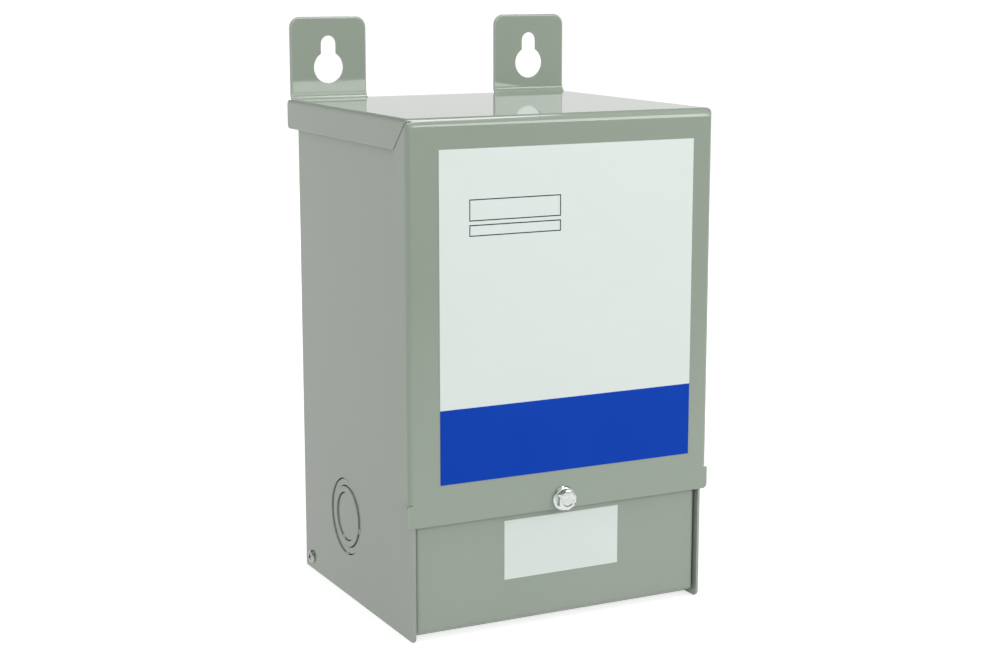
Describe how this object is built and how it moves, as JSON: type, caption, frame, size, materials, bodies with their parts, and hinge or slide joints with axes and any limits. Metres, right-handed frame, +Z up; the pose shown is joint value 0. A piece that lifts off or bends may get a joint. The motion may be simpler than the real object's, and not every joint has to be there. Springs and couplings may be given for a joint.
{
  "type": "isolation transformer",
  "caption": "Dry-type isolation transformer in a folded-steel case with keyhole wall tabs, a lower wiring compartment and side conduit knockouts.",
  "frame": {"origin": "on the floor, under the middle of the whole width and depth (screw head to tab backs)", "axes": "+Z up, +X to the right seen from the front, +Y towards the wall, so the labelled front faces -Y"},
  "size_m": [0.1454, 0.1374, 0.256],
  "materials": {
    "enamel": "satin",
    "zinc": "bright zinc plate",
    "label_white": "printed vinyl",
    "label_blue": "printed vinyl",
    "resin": "cast resin"
  },
  "bodies": {
    "root": {"cover": "enamel", "left_mounting_tab": "enamel", "right_mounting_tab": "enamel", "left_side_panel": "enamel", "right_side_panel": "enamel", "back_panel": "enamel", "base_plate": "enamel", "wiring_compartment_cover": "enamel", "cover_screw": "zinc", "left_panel_screw": "zinc", "right_panel_screw": "zinc", "left_knockout_outer_ring": "enamel", "left_knockout_middle_ring": "enamel", "left_knockout_slug": "enamel", "right_knockout_outer_ring": "enamel", "right_knockout_middle_ring": "enamel", "right_knockout_slug": "enamel", "rating_label_field": "label_white", "rating_label_band": "label_blue", "lower_label": "label_white", "potted_core": "resin"}
  },
  "joints": []
}
